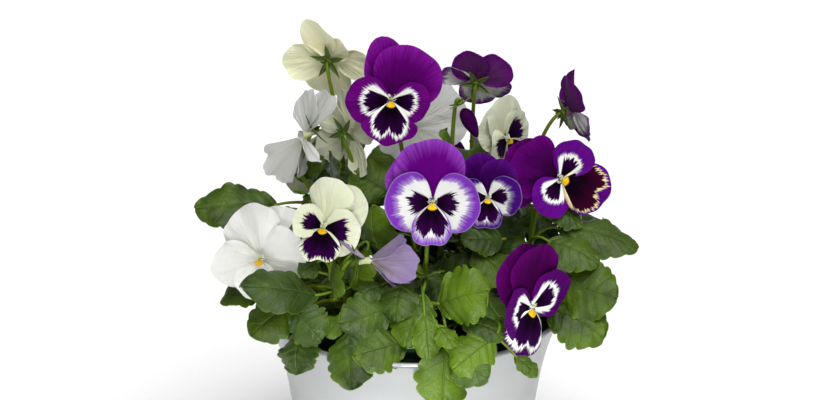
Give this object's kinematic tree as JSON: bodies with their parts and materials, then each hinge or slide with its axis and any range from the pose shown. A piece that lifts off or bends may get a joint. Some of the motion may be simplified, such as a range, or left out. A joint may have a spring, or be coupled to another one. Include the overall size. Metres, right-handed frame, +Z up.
{
  "type": "potted pansy planter",
  "caption": "Bushy potted pansy with toothed leaves and two-tone violet, cream and white blooms, in a dark nursery pot inside a pale round metal cover pot",
  "frame": {"origin": "middle of the cover pot's flat bottom, where it stands", "axes": "+Z up along the pot's axis, -Y towards the front that the picture shows, +X to the viewer's right"},
  "size_m": [0.283, 0.2381, 0.3351],
  "materials": {
    "cover_pot": "satin",
    "nursery_pot": "semi-gloss",
    "compost": "matte",
    "foliage": "satin",
    "petal_violet": "velvet",
    "petal_cream": "matte",
    "petal_white": "matte",
    "petal_lilac": "matte",
    "bud_violet": "velvet"
  },
  "bodies": {
    "root": {"cover_pot": "cover_pot", "nursery_pot": "nursery_pot", "compost": "compost", "shoot_white_left": "foliage", "shoot_white_tall": "foliage", "shoot_cream_front": "foliage", "shoot_cream_tall": "foliage", "shoot_cream_middle": "foliage", "shoot_violet_top": "foliage", "shoot_white_middle": "foliage", "shoot_violet_front": "foliage", "shoot_left_low": "foliage", "shoot_lilac_left": "foliage", "shoot_right_low": "foliage", "shoot_violet_low": "foliage", "shoot_violet_small": "foliage", "shoot_violet_right": "foliage", "shoot_violet_far": "foliage", "shoot_cream_right": "foliage", "shoot_violet_back": "foliage", "shoot_budding": "foliage", "shoot_rear_cream": "foliage", "shoot_rear_violet": "foliage", "shoot_rear_white": "foliage", "shoot_rear_left": "foliage", "shoot_rear_right": "foliage", "bloom_white_left": "petal_white", "bloom_white_tall": "petal_white", "bloom_cream_front": "petal_cream", "bloom_cream_tall": "petal_cream", "bloom_cream_middle": "petal_cream", "bloom_violet_top": "petal_violet", "bloom_white_middle": "petal_white", "bloom_violet_front": "petal_violet", "bloom_lilac_left": "petal_lilac", "bloom_violet_low": "petal_violet", "bloom_violet_small": "petal_violet", "bloom_violet_right": "petal_violet", "bloom_violet_far": "petal_violet", "bloom_cream_right": "petal_cream", "bloom_violet_back": "petal_violet", "bloom_budding": "bud_violet", "bloom_rear_cream": "petal_cream", "bloom_rear_violet": "petal_violet", "bloom_rear_white": "petal_white"}
  },
  "joints": []
}
